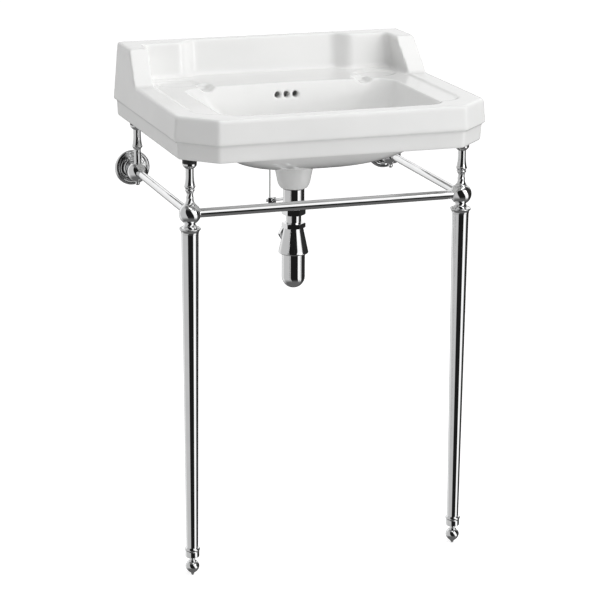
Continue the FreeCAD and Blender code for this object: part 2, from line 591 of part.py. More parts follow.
def collar(side):
    """The turned cap of a leg: a stud up into the ball, a flared lip, and a plug down into the tube."""
    seat = BALL_BOTTOM_Z
    lip = COLLAR_SEAT_Z + 8.5
    taper = (LEG_TOP_R - LEG_FOOT_R) / (COLLAR_SEAT_Z - SLEEVE_TOP_Z)
    plug = LEG_TOP_R - LEG_WALL - 2 * FIT
    return turned([(0, RAIL_HEIGHT - STUD_SOCKET - FIT), (SOCKET_STUD_R, RAIL_HEIGHT - STUD_SOCKET - FIT),
                   (SOCKET_STUD_R, seat), (9.3, seat), (9.3, seat - 2.5),
                   ((12.4, lip + 4.2), (COLLAR_R - 0.6, lip + 1.2)), ((COLLAR_R, lip), (COLLAR_R - 0.6, lip - 1.2)),
                   ((LEG_TOP_R + 1.2, lip - 4), (LEG_TOP_R + 0.4, COLLAR_SEAT_Z + 0.4)), (LEG_TOP_R, COLLAR_SEAT_Z),
                   (plug, COLLAR_SEAT_Z), (plug - taper * LEG_PLUG_DEPTH, COLLAR_SEAT_Z - LEG_PLUG_DEPTH),
                   (0, COLLAR_SEAT_Z - LEG_PLUG_DEPTH)], side * LEG_X, LEG_Y)


def leg(side):
    return revolved([(LEG_FOOT_R - LEG_WALL, SLEEVE_TOP_Z), (LEG_FOOT_R, SLEEVE_TOP_Z), (LEG_TOP_R, COLLAR_SEAT_Z),
                     (LEG_TOP_R - LEG_WALL, COLLAR_SEAT_Z)], side * LEG_X, LEG_Y)


def foot_sleeve(side):
    """The ring sleeve at the foot of a leg, threaded for the levelling stud."""
    top, low = SLEEVE_TOP_Z, SLEEVE_BOTTOM_Z
    plug, bore = LEG_FOOT_R - LEG_WALL - FIT, STUD_R + RUN
    return turned([(bore, top + 22), (plug, top + 22), (plug, top), (12.6, top), ((13.4, top - 2.5), (12.6, top - 5)),
                   (11.6, top - 5.6), (12.2, top - 6.4), (12.2, low + 1), ((11.9, low + 0.3), (11.2, low)),
                   (bore, low)], side * LEG_X, LEG_Y)


def foot(side):
    """The pear-shaped levelling foot with its stud."""
    top = SLEEVE_BOTTOM_Z - FOOT_TRAVEL - 0.5
    return turned([(0, 0), (2.3, 0), ((2.6, 2.2), (4.6, 5.2)), ((9.2, 9.2), (FOOT_BULB_R, 16.6)),
                   ((10.6, 22.4), (7.0, top - 3)), (6.4, top), (STUD_R, top), (STUD_R, SLEEVE_TOP_Z + 12),
                   (0, SLEEVE_TOP_Z + 12)], side * LEG_X, LEG_Y)


def wall_boss(side):
    """The turned piece from the rear ball back to its wall plate, made upright and then laid back."""
    length = REAR_BALL_FROM_WALL
    seat, plate = BALL_FLAT, length - WALL_PLATE_THICK
    shape = turned([(0, STUD_SOCKET + FIT), (SOCKET_STUD_R, STUD_SOCKET + FIT), (SOCKET_STUD_R, seat),
                    (BOSS_R, seat), ((BOSS_R - 1.6, seat + 5), (BOSS_R, seat + 10)), (BOSS_R, plate),
                    (BOSS_STUD_R, plate), (BOSS_STUD_R, length - 0.5), (0, length - 0.5)])
    return lay_back(shape, side * LEG_X, REAR_Y, RAIL_HEIGHT)


BOSS_STUD_R = 6.0


def wall_rose(side):
    """The stepped round cover, hollow behind for its wall plate."""
    t = ROSE_THICK
    shape = turned([(BOSS_R + FIT, t), (BOSS_R + FIT, 0), (14, 0), ((16.5, 0.8), (18, 3)), (21, 3.6),
                    ((22.6, 4.2), (23.4, 6)), (25, 6.4), (27.4, 4.6), ((31.4, 6.0), (ROSE_R, t - 2)), (ROSE_R, t),
                    (WALL_PLATE_R + 1, t), (WALL_PLATE_R + 1, t - WALL_PLATE_THICK - 1), (BOSS_R + FIT, t - WALL_PLATE_THICK - 1)])
    return lay_back(shape, side * LEG_X, WALL_Y - t, RAIL_HEIGHT)


def wall_plate(side):
    x, t = side * LEG_X, WALL_PLATE_THICK
    plate = cylinder(WALL_PLATE_R, (x, WALL_Y - t, RAIL_HEIGHT), (x, WALL_Y, RAIL_HEIGHT))
    plate = plate.cut(cylinder(BOSS_STUD_R + FIT, (x, WALL_Y - t - 1, RAIL_HEIGHT), (x, WALL_Y + 1, RAIL_HEIGHT)))
    for up in (-1, 1):
        z = RAIL_HEIGHT + up * WALL_SCREW_PITCH / 2
        plate = plate.cut(cylinder(WALL_SCREW_R, (x, WALL_Y - t - 1, z), (x, WALL_Y + 1, z)))
    return plate


# ---------------------------------------------------------------- waste and trap
WASTE_Y = y_at(WASTE_FROM_WALL)
FLANGE_Z = OUTLET_SEAT_Z + SEAL_THICK
TAIL_TOP_Z = CUP_END_Z - SEAL_THICK
BALL_Y = WASTE_Y + PIVOT_BEHIND_AXIS
SLOPE = math.radians(LEVER_SLOPE)
END_SLOPE = math.radians(LEVER_TURN - LEVER_SLOPE)
EYE_Z = PIVOT_Z + PIVOT_BEHIND_AXIS * math.tan(SLOPE)
PLUG_TRAVEL = PIVOT_BEHIND_AXIS * (math.tan(SLOPE) + math.tan(END_SLOPE))
ROD_Y = y_at(ROD_FROM_WALL)
ROD_ARM = ROD_Y - BALL_Y
CLAMP_Z = PIVOT_Z - ROD_ARM * math.tan(SLOPE)
ROD_TRAVEL = ROD_ARM * (math.tan(SLOPE) + math.tan(END_SLOPE))


def about_waste(profile):
    return revolved(profile, 0, WASTE_Y)


def upper_seal():
    return ring(FLANGE_R - 2, SLEEVE_R + FIT, OUTLET_SEAT_Z, SEAL_THICK, 0, WASTE_Y)


def waste_flange():
    """The dished flange in the bowl with its threaded sleeve and overflow slots."""
    z = FLANGE_Z
    inner = SLEEVE_R - SLEEVE_WALL
    body = turned([(inner, z - 3), ((inner + 0.9, z + 0.5), (inner + 4, z + FLANGE_THICK - 0.8)), (PLUG_R + 1.5, z + FLANGE_THICK - 0.6),
                   ((FLANGE_R - 4, z + FLANGE_THICK), (FLANGE_R, z + 0.6)), (FLANGE_R, z), (SLEEVE_R, z),
                   (SLEEVE_R, SLEEVE_END_Z), (inner, SLEEVE_END_Z)], 0, WASTE_Y)
    for turn in range(4):
        slot = Part.makeBox(8, 2 * SLEEVE_R, 12, Vector(-4, 0, OUTLET_SEAT_Z - 27))
        slot.rotate(Vector(0, 0, 0), UP, 90 * turn)
        slot.translate(Vector(0, WASTE_Y, 0))
        body = body.cut(slot)
    return body


def lower_seal():
    return ring(TAIL_R - 0.5, SLEEVE_R + FIT, TAIL_TOP_Z, SEAL_THICK, 0, WASTE_Y)


def waste_tail():
    """The polished tail: it screws up on the sleeve, carries the pivot port and ends in a spigot for the trap."""
    nut_top = INLET_NUT_Z + INLET_NUT_HEIGHT
    body = about_waste([(SLEEVE_R + FIT, TAIL_TOP_Z), (TAIL_R, TAIL_TOP_Z), (TAIL_R, nut_top), (SPIGOT_R, nut_top),
                        (SPIGOT_R, TAIL_END_Z), (TAIL_BORE - 0.4, TAIL_END_Z), (TAIL_BORE - 0.4, TAIL_END_Z + 5),
                        (TAIL_BORE, TAIL_END_Z + 6), (TAIL_BORE, SLEEVE_END_Z - 1),
                        (SLEEVE_R + FIT, SLEEVE_END_Z - 1)])
    inside = cylinder(TAIL_R - 1, (0, WASTE_Y, PIVOT_Z - PORT_R - 2), (0, WASTE_Y, PIVOT_Z + PORT_R + 2))
    port = cylinder(PORT_R, (0, WASTE_Y, PIVOT_Z), (0, BALL_Y, PIVOT_Z)).cut(inside)
    pocket = Part.makeSphere(LEVER_BALL_R + AIR, Vector(0, BALL_Y, PIVOT_Z))
    throat_r = LEVER_BALL_R - 0.7
    throat = cylinder(throat_r, (0, BALL_Y - 5, PIVOT_Z), (0, BALL_Y, PIVOT_Z))
    mouth = Part.makeCone(throat_r, throat_r + 2.7, 10, Vector(0, BALL_Y - 4, PIVOT_Z), Vector(0, -1, 0))
    return body.fuse(port).cut([pocket, throat, mouth])


def pivot_seat():
    """The plastic ring that presses on the back of the lever's ball."""
    body = cylinder(PORT_R, (0, BALL_Y, PIVOT_Z), (0, BALL_Y + 4.2, PIVOT_Z))
    return body.cut([Part.makeSphere(LEVER_BALL_R + AIR, Vector(0, BALL_Y, PIVOT_Z)),
                     cylinder(LEVER_BALL_R - 0.5, (0, BALL_Y, PIVOT_Z), (0, BALL_Y + 6, PIVOT_Z))])


def pivot_nut():
    """The cap nut that holds the seat and the ball."""
    start, end = BALL_Y - 4.5, BALL_Y + 6.5
    body = cylinder(PORT_NUT_R, (0, start, PIVOT_Z), (0, end, PIVOT_Z))
    body = body.cut(cylinder(PORT_R + FIT, (0, start - 1, PIVOT_Z), (0, BALL_Y + 4.2 + FIT, PIVOT_Z)))
    body = body.cut(cylinder(LEVER_BALL_R + 0.2, (0, start, PIVOT_Z), (0, end + 1, PIVOT_Z)))
    for step in range(12):
        groove = cylinder(0.7, (PORT_NUT_R + 0.2, start - 1, 0), (PORT_NUT_R + 0.2, end + 1, 0))
        groove.rotate(Vector(0, 0, 0), Vector(0, 1, 0), 30 * step)
        groove.translate(Vector(0, 0, PIVOT_Z))
        body = body.cut(groove)
    return body


def pivot_lever():
    """The lever: a ball, an inner arm to the plug and an outer arm that falls towards the rod."""
    def on_lever(along_y):
        return (0, BALL_Y + along_y, PIVOT_Z - along_y * math.tan(SLOPE))

    arm = cylinder(LEVER_R, on_lever(-PIVOT_BEHIND_AXIS - 4), on_lever(ROD_ARM + CLAMP_HALF_Y + 6))
    return arm.fuse(Part.makeSphere(LEVER_BALL_R, Vector(0, BALL_Y, PIVOT_Z)))


def plug_underside():
    """The underside of the plug's head as it stands open."""
    return FLANGE_Z + FLANGE_THICK - 0.2 + PLUG_TRAVEL


def plug():
    """The pop-up plug, standing open: a domed head, a grooved core, a stem, and an eye for the lever."""
    z = plug_underside()
    core = SLEEVE_R - SLEEVE_WALL - 3 * AIR
    body = turned([(0, z + 5), ((PLUG_R * 0.6, z + 4.2), (PLUG_R, z + 1.2)), (PLUG_R, z), (PLUG_GROOVE_R, z),
                   (PLUG_GROOVE_R, z - 2.5), (core, z - 2.5), (core - 0.5, z - 5), (PLUG_STEM_R, z - 10),
                   (PLUG_STEM_R, EYE_Z + 8), (0, EYE_Z + 8)], 0, WASTE_Y)
    eye = Part.makeBox(12, 4, 17, Vector(-6, WASTE_Y - 2, EYE_Z - 8))
    mean = math.degrees((SLOPE - END_SLOPE) / 2)
    hole = cylinder(LEVER_R + SLACK - 0.15, (0, -20, 0), (0, 20, 0))
    hole.rotate(Vector(0, 0, 0), Vector(1, 0, 0), -mean)
    hole.translate(Vector(0, WASTE_Y, EYE_Z))
    return body.fuse(eye).cut(hole)


def plug_seal():
    return ring(SLEEVE_R - SLEEVE_WALL - AIR - 0.1, PLUG_GROOVE_R + RUN, plug_underside() - 2.3, 2.2, 0, WASTE_Y)


def rod_clamp():
    """The cross clamp: tight on the rod, loose round the lever, where the linkage is open."""
    body = Part.makeBox(15, 2 * CLAMP_HALF_Y, 2 * CLAMP_HALF_Z,
                        Vector(ROD_X - 3.4, ROD_Y - CLAMP_HALF_Y, CLAMP_Z - CLAMP_HALF_Z))
    mean = math.degrees((SLOPE - END_SLOPE) / 2)
    hole = cylinder(LEVER_R + SLACK, (0, -20, 0), (0, 20, 0))
    hole.rotate(Vector(0, 0, 0), Vector(1, 0, 0), -mean)
    hole.translate(Vector(0, ROD_Y, CLAMP_Z))
    rod_hole = cylinder(ROD_R + RUN, (ROD_X, ROD_Y, CLAMP_Z - 9), (ROD_X, ROD_Y, CLAMP_Z + 9))
    screw_hole = cylinder(1.3, (ROD_X, ROD_Y, CLAMP_Z), (ROD_X - 9, ROD_Y, CLAMP_Z))
    return body.cut([hole, rod_hole, screw_hole])


def lift_rod():
    return cylinder(ROD_R, (ROD_X, ROD_Y, CLAMP_Z - 10), (ROD_X, ROD_Y, ROD_TOP_Z))


def clamp_screw():
    face = ROD_X - 3.4
    shank = cylinder(1.2, (ROD_X - ROD_R - FIT, ROD_Y, CLAMP_Z), (face - 1, ROD_Y, CLAMP_Z))
    head = cylinder(2.8, (face, ROD_Y, CLAMP_Z), (face - 4, ROD_Y, CLAMP_Z))
    return shank.fuse(head)


def inlet_nut():
    """The hexagonal nut under the tail: a lip below, the thread above."""
    z, y = INLET_NUT_Z, WASTE_Y
    nut = hex_nut(HEX_FLATS, TUBE_R + FIT, z, INLET_NUT_HEIGHT, 0, y, HEX_TURN)
    return nut.cut(cylinder(SPIGOT_R + FIT, (0, y, z + NUT_LIP), (0, y, z + INLET_NUT_HEIGHT + 1)))


def inlet_washer():
    return ring(SPIGOT_R, TUBE_R + FIT, INLET_NUT_Z + NUT_LIP, TAIL_END_Z - INLET_NUT_Z - NUT_LIP, 0, WASTE_Y)


def trap_tube():
    return ring(TUBE_R, TUBE_R - TUBE_WALL, TUBE_END_Z, TUBE_TOP_Z - TUBE_END_Z, 0, WASTE_Y)


CAP_LIP_Z = CAP_NUT_Z + CAP_NUT_HEIGHT - NUT_LIP


def cap_nut():
    """The hexagonal nut on top of the trap: its lip is above."""
    z, y = CAP_NUT_Z, WASTE_Y
    nut = hex_nut(HEX_FLATS, TUBE_R + FIT, z, CAP_NUT_HEIGHT, 0, y, HEX_TURN)
    return nut.cut(cylinder(SPIGOT_R + FIT, (0, y, z - 1), (0, y, CAP_LIP_Z)))


def cap_washer():
    return ring(SPIGOT_R, TUBE_R + FIT, CAP_LIP_Z - WASHER_THICK, WASHER_THICK, 0, WASTE_Y)


def trap_bell():
    """The bell-shaped body of the trap with its outlet spigot."""
    top, rim = BELL_TOP_Z, BELL_RIM_Z
    spigot_top = CAP_LIP_Z - WASHER_THICK
    seat = TRAP_CUP_TOP_Z + SEAL_GAP + TRAP_SEAL_THICK
    cup_bore, throat = TRAP_CUP_R + 0.3, TRAP_CUP_R - TRAP_CUP_WALL
    body = turned([(TUBE_R + 0.3, spigot_top), (SPIGOT_R, spigot_top), (SPIGOT_R, top), (BELL_TOP_R, top),
                   (BELL_RIM_R, rim + 1), ((BELL_RIM_R - 0.2, rim - 1.2), (BELL_RIM_R - 2, rim - 2)),
                   (cup_bore, rim - 2), (cup_bore, seat), (throat, seat), (throat, seat + 5), (TUBE_R + 1.3, top - 4),
                   (TUBE_R + 0.3, top - 4)], 0, WASTE_Y)
    outlet = cylinder(OUTLET_SPIGOT_R, (0, WASTE_Y + 16, OUTLET_Z), (0, WASTE_Y + OUTLET_REACH, OUTLET_Z))
    outlet = outlet.common(Part.makeBox(80, 80, 80, Vector(-40, WASTE_Y, rim)))
    keep_out = cylinder(throat, (0, WASTE_Y, seat - 1), (0, WASTE_Y, top))
    keep_out = keep_out.fuse(cylinder(cup_bore, (0, WASTE_Y, rim), (0, WASTE_Y, seat)))
    bore = cylinder(OUTLET_PIPE_R + FIT, (0, WASTE_Y + 24, OUTLET_Z), (0, WASTE_Y + OUTLET_REACH + 1, OUTLET_Z))
    throat_bore = cylinder(8.5, (0, WASTE_Y, OUTLET_Z), (0, WASTE_Y + 25, OUTLET_Z))
    clear = cylinder(TUBE_R + 0.3, (0, WASTE_Y, rim), (0, WASTE_Y, top + 1))
    return body.fuse(outlet.cut(keep_out)).cut([bore, throat_bore, clear])


SEAL_GAP, TRAP_SEAL_THICK = 0.3, 1.5


def trap_seal():
    return ring(TRAP_CUP_R, TRAP_CUP_R - TRAP_CUP_WALL, TRAP_CUP_TOP_Z + SEAL_GAP, TRAP_SEAL_THICK, 0, WASTE_Y)


def trap_cup():
    """The round-bottomed cup of the trap, which unscrews for cleaning."""
    r, w, top, low = TRAP_CUP_R, TRAP_CUP_WALL, TRAP_CUP_TOP_Z, TRAP_CUP_BOTTOM_Z
    c, inner = low + r, r - w
    k = math.sqrt(0.5)
    return turned([(r, top), (r, c), ((r * k, c - r * k), (0, low)), (0, low + w),
                   ((inner * k, c - inner * k), (inner, c)), (inner, top)], 0, WASTE_Y)


def outlet_nut():
    length = OUTLET_NUT_LENGTH
    nut = hex_nut(OUTLET_NUT_FLATS, OUTLET_PIPE_R + FIT, 0, length, 0, 0, 0, 1.2)
    nut = nut.cut(cylinder(OUTLET_SPIGOT_R + FIT, (0, 0, -1), (0, 0, length - NUT_LIP)))
    nut = lay_back(nut, 0, 0, 0)
    nut.translate(Vector(0, WASTE_Y + OUTLET_REACH + WASHER_THICK + NUT_LIP - length, OUTLET_Z))
    return nut


def outlet_washer():
    start = WASTE_Y + OUTLET_REACH
    outer = cylinder(OUTLET_SPIGOT_R, (0, start, OUTLET_Z), (0, start + WASHER_THICK, OUTLET_Z))
    return outer.cut(cylinder(OUTLET_PIPE_R + FIT, (0, start - 1, OUTLET_Z), (0, start + 3, OUTLET_Z)))


def main():
    nodes = {
        "basin": basin(), "basin_pads": basin_pads(),
        "front_rail": front_rail(), "rail_grub_screws": grub_screws(),
        "waste_flange": waste_flange(), "waste_upper_seal": upper_seal(), "waste_lower_seal": lower_seal(),
        "waste_tail": waste_tail(), "pivot_seat": pivot_seat(), "pivot_nut": pivot_nut(),
        "pivot_lever": pivot_lever(), "plug": plug(), "plug_seal": plug_seal(),
        "lift_rod": lift_rod(), "rod_clamp": rod_clamp(), "rod_clamp_screw": clamp_screw(),
        "trap_inlet_nut": inlet_nut(), "trap_inlet_washer": inlet_washer(), "trap_tube": trap_tube(),
        "trap_cap_nut": cap_nut(), "trap_cap_washer": cap_washer(), "trap_bell": trap_bell(),
        "trap_cup_seal": trap_seal(), "trap_cup": trap_cup(),
        "trap_outlet_nut": outlet_nut(), "trap_outlet_washer": outlet_washer(),
    }
    for name, side in SIDES:
        nodes["side_rail_" + name] = side_rail(side)
        nodes["front_ball_" + name] = front_ball(side)
        nodes["rear_ball_" + name] = rear_ball(side)
        nodes["front_pillar_" + name] = front_pillar(side)
        nodes["rear_pillar_" + name] = rear_pillar(side)
        nodes["rear_finial_" + name] = finial(side)
        nodes["leg_collar_" + name] = collar(side)
        nodes["leg_" + name] = leg(side)
        nodes["foot_sleeve_" + name] = foot_sleeve(side)
        nodes["foot_" + name] = foot(side)
        nodes["wall_boss_" + name] = wall_boss(side)
        nodes["wall_rose_" + name] = wall_rose(side)
        nodes["wall_plate_" + name] = wall_plate(side)
    os.makedirs("parts", exist_ok=True)
    for name, shape in nodes.items():
        shape.exportStep(os.path.join("parts", name + ".step"))
        print(name, len(shape.Solids), round(shape.Volume, 2), shape.isValid())


main()
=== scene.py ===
"""Looks of the console sink: glazed basin, polished stand, waste and trap, in the photograph's view."""

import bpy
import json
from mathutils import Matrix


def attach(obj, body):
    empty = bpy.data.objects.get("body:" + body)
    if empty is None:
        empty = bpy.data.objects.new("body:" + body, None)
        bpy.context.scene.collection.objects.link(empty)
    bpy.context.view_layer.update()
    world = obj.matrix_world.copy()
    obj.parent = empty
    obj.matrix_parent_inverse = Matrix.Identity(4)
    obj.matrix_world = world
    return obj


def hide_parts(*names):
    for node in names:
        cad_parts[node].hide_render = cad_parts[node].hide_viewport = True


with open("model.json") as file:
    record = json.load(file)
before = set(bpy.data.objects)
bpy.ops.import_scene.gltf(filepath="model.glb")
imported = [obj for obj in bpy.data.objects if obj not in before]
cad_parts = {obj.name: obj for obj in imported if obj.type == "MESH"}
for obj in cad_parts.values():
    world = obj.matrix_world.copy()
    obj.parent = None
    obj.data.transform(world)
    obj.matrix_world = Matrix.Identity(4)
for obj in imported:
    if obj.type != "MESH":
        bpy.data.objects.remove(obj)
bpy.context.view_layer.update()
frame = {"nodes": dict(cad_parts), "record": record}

import json
import math

import bpy
from mathutils import Matrix, Vector

MM = 0.001
BODY_OF = {node: body for body, nodes in frame["record"]["behaviour"]["bodies"].items() for node in nodes}
SLOT_OF = {part["node"]: part["material_slot"] for part in frame["record"]["subparts"]}

# Meshes.
MERGE_WITHIN = 0.00001                  # metres; corners nearer than this become one
ROUND_WITHIN = math.radians(28)         # faces that meet at less than this are shaded as one round face
GLAZE_GRAIN = 2.0 * MM
GLAZE_SOFTENING, GLAZE_PASSES = 0.5, 8
GLAZE_TRIANGLES = 190000

# Studio floor, in metres, and its tones.
FLOOR_SIDE, FLOOR_MIDDLE = 60, (0, 10, 0)
FLOOR_TONE, FLOOR_ROUGHNESS, FLOOR_GLOW = 0.8, 0.9, 0.6

# What shiny surfaces mirror, as a compass angle in degrees and a brightness. 0 is straight out from the wall,
# and + is to the right. The first list is for the horizon and below, the second for higher up.
MIRRORED_LOW = [(-180, 0.5), (-168, 0.9), (-150, 0.85), (-130, 0.57), (-56, 0.56), (-52, 0.012), (18, 0.012),
                (21, 1.1), (57, 1.1), (61, 0.03), (150, 0.02), (170, 0.1), (180, 0.5)]
MIRRORED_HIGH = [(-180, 1.0), (-145, 1.0), (-120, 0.57), (-56, 0.56), (-52, 0.012), (18, 0.012),
                 (21, 1.1), (57, 1.1), (61, 0.03), (120, 0.03), (140, 1.0), (180, 1.0)]
MIRRORED_BELOW, MIRRORED_ABOVE = 0.13, 0.14
PANEL_SLANT = 0.085                     # turns by which the panels' edges go to the left up to the zenith
# Heights in degrees above the horizon between which one zone of the mirrored studio turns into the next.
MIRRORED_BELOW_TO_LOW = (-50.0, -26.0)
MIRRORED_LOW_TO_HIGH = (-2.0, 8.0)
MIRRORED_HIGH_TO_ABOVE = (42.0, 60.0)

# The soft light that reaches the object otherwise, written in the same way.
LIGHT_LOW = [(-180, 1.2), (-135, 1.4), (-90, 0.1), (-45, 0.0), (0, 1.2), (45, 1.6), (90, 1.6), (135, 0.8),
             (180, 1.2)]
LIGHT_HIGH = [(-180, 0.1), (-135, 0.7), (-90, 0.5), (-45, 0.2), (0, 1.2), (45, 1.3), (90, 0.6), (135, 0.0),
              (180, 0.1)]
LIGHT_BELOW, LIGHT_ABOVE = 0.3, 0.3
LIGHT_BELOW_TO_LOW = (-50.0, -5.0)
LIGHT_LOW_TO_HIGH = (10.0, 40.0)
LIGHT_HIGH_TO_ABOVE = (45.0, 80.0)
WHITE = 1.0

# Lamps: name, place, what it points at, size in metres, power in watts.
LAMPS = [("top_softbox", (0.4, -0.6, 3.2), (0, 0, 0.8), (2.4, 1.6), 21),
         ("right_softbox", (1.1, -1.3, 1.25), (0.1, -0.2, 0.8), (0.7, 0.9), 3.2)]

# The camera found from the photograph: metres, degrees, and its lens in pixels of the photograph.
CAMERA_PLACE = (-1.303, -3.801, 1.583)
CAMERA_YAW, CAMERA_PITCH, CAMERA_ROLL = 18.94, -15.79, 0.35
FOCAL_PIXELS, PHOTO_PIXELS = 2287, 600
SENSOR_WIDTH = 36                       # millimetres


# ---------------------------------------------------------------- shader building blocks
def grey(level):
    return (level, level, level, 1)


def new_finish(name):
    """A new material, its node tree and its main shader."""
    finish = bpy.data.materials.new(name)
    finish.use_nodes = True
    shader = next(n for n in finish.node_tree.nodes if n.type == "BSDF_PRINCIPLED")
    return finish, finish.node_tree, shader


def object_noise(tree, scale, detail):
    """Noise over the piece's own place in the frame, with its scale per metre."""
    place = tree.nodes.new("ShaderNodeTexCoord")
    noise = tree.nodes.new("ShaderNodeTexNoise")
    noise.inputs["Scale"].default_value = scale
    noise.inputs["Detail"].default_value = detail
    tree.links.new(place.outputs["Object"], noise.inputs["Vector"])
    return noise.outputs["Fac"]


def spread(tree, source, span, onto=(0, 1)):
    """Maps the span of the source onto another one, and holds the ends beyond it."""
    ramp = tree.nodes.new("ShaderNodeMapRange")
    ramp.inputs["From Min"].default_value, ramp.inputs["From Max"].default_value = span
    ramp.inputs["To Min"].default_value, ramp.inputs["To Max"].default_value = onto
    tree.links.new(source, ramp.inputs["Value"])
    return ramp.outputs["Result"]


def two_tones(tree, shader, source, first, second):
    """The colour varies between two tones."""
    mix = tree.nodes.new("ShaderNodeMix")
    mix.data_type = "RGBA"
    mix.inputs["A"].default_value = (*first, 1)
    mix.inputs["B"].default_value = (*second, 1)
    tree.links.new(source, mix.inputs["Factor"])
    tree.links.new(mix.outputs["Result"], shader.inputs["Base Color"])


def haze(tree, shader, source, span, roughness):
    """The roughness varies between two values."""
    tree.links.new(spread(tree, source, span, roughness), shader.inputs["Roughness"])


def bump(tree, shader, source, strength, height):
    """A fine relief, with its height in metres."""
    relief = tree.nodes.new("ShaderNodeBump")
    relief.inputs["Strength"].default_value = strength
    relief.inputs["Distance"].default_value = height
    tree.links.new(source, relief.inputs["Height"])
    tree.links.new(relief.outputs["Normal"], shader.inputs["Normal"])


# ---------------------------------------------------------------- finishes
def glazed_ceramic():
    """White vitreous china: a hard clear glaze that lies a little unevenly over a white body."""
    finish, tree, shader = new_finish("white_glaze")
    body = spread(tree, object_noise(tree, scale=9.0, detail=3.0), span=(0.3, 0.7))
    two_tones(tree, shader, body, first=(0.855, 0.857, 0.85), second=(0.89, 0.89, 0.882))
    flow = object_noise(tree, scale=26.0, detail=1.0)
    bump(tree, shader, flow, strength=0.12, height=1.2 * MM)
    smear = object_noise(tree, scale=60.0, detail=4.0)
    haze(tree, shader, smear, span=(0.3, 0.7), roughness=(0.045, 0.085))
    shader.inputs["IOR"].default_value = 1.5
    return finish


def polished_chrome():
    """Bright chrome plate with the faint haze of a polished surface."""
    finish, tree, shader = new_finish("bright_chrome")
    shader.inputs["Metallic"].default_value = 1.0
    plate = spread(tree, object_noise(tree, scale=30.0, detail=2.0), span=(0.35, 0.65))
    two_tones(tree, shader, plate, first=(0.86, 0.865, 0.87), second=(0.9, 0.902, 0.905))
    smear = object_noise(tree, scale=140.0, detail=4.0)
    haze(tree, shader, smear, span=(0.35, 0.7), roughness=(0.03, 0.07))
    return finish


def black_rubber():
    """Matt moulded rubber with a fine grain."""
    finish, tree, shader = new_finish("black_rubber")
    grain = object_noise(tree, scale=300.0, detail=4.0)
    two_tones(tree, shader, grain, first=(0.012, 0.012, 0.012), second=(0.03, 0.03, 0.031))
    haze(tree, shader, grain, span=(0.3, 0.7), roughness=(0.5, 0.7))
    bump(tree, shader, grain, strength=0.2, height=0.3 * MM)
    return finish


def white_plastic():
    """Moulded plastic, slightly warm, with a satin skin."""
    finish, tree, shader = new_finish("white_plastic")
    grain = object_noise(tree, scale=200.0, detail=3.0)
    two_tones(tree, shader, grain, first=(0.72, 0.72, 0.7), second=(0.8, 0.8, 0.78))
    haze(tree, shader, grain, span=(0.3, 0.7), roughness=(0.3, 0.42))
    bump(tree, shader, grain, strength=0.1, height=0.2 * MM)
    return finish


def plain_steel():
    """Stainless steel as it comes from the press."""
    finish, tree, shader = new_finish("plain_steel")
    shader.inputs["Metallic"].default_value = 1.0
    grain = object_noise(tree, scale=500.0, detail=4.0)
    two_tones(tree, shader, grain, first=(0.5, 0.5, 0.5), second=(0.62, 0.62, 0.63))
    haze(tree, shader, grain, span=(0.3, 0.7), roughness=(0.25, 0.42))
    bump(tree, shader, grain, strength=0.08, height=0.2 * MM)
    return finish


FINISHES = {"ceramic": glazed_ceramic(), "chrome": polished_chrome(), "rubber": black_rubber(),
            "white_plastic": white_plastic(), "steel": plain_steel()}


def dress(piece, slot):
    """Gives the piece the finish of its material slot."""
    piece.data.materials.clear()
    piece.data.materials.append(FINISHES[slot])


# ---------------------------------------------------------------- pieces
def only(piece):
    """Selects the piece and nothing else."""
    bpy.ops.object.select_all(action="DESELECT")
    piece.select_set(True)
    bpy.context.view_layer.objects.active = piece


def copy_of(node, name):
    """A merged copy of a node's mesh, free of the node's marks and of the normals stored with its mesh."""
    source = frame["nodes"][node]
    piece = source.copy()
    piece.data = source.data.copy()
    piece.name = piece.data.name = name
    piece.parent = None
    piece.matrix_world = Matrix.Identity(4)
    for key in list(piece.keys()):
        del piece[key]
    bpy.context.scene.collection.objects.link(piece)
    only(piece)
    bpy.ops.object.mode_set(mode="EDIT")
    bpy.ops.mesh.select_all(action="SELECT")
    bpy.ops.mesh.remove_doubles(threshold=MERGE_WITHIN)
    bpy.ops.object.mode_set(mode="OBJECT")
    bpy.ops.mesh.customdata_custom_splitnormals_clear()
    return piece


def apply(piece, kind, **settings):
    """Adds a modifier and applies it."""
    only(piece)
    modifier = piece.modifiers.new(kind.lower(), kind)
    for key, value in settings.items():
        setattr(modifier, key, value)
    bpy.ops.object.modifier_apply(modifier=modifier.name)


def stands_for(piece, node):
    """The piece takes the node's place, finish and body."""
    dress(piece, SLOT_OF[node])
    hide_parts(node)
    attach(piece, BODY_OF[node])


def glazed_basin():
    """The basin with the soft edges that a thick glaze gives."""
    piece = copy_of("basin", "basin_glazed")
    apply(piece, "REMESH", mode="VOXEL", voxel_size=GLAZE_GRAIN, use_smooth_shade=True)
    apply(piece, "SMOOTH", factor=GLAZE_SOFTENING, iterations=GLAZE_PASSES)
    triangles = 2 * len(piece.data.polygons)
    apply(piece, "DECIMATE", ratio=min(1.0, GLAZE_TRIANGLES / triangles))
    only(piece)
    bpy.ops.object.shade_smooth()
    stands_for(piece, "basin")


def polished(node):
    """A metal piece with its round faces shaded as round."""
    piece = copy_of(node, node + "_polished")
    only(piece)
    bpy.ops.object.shade_smooth_by_angle(angle=ROUND_WITHIN)
    stands_for(piece, node)


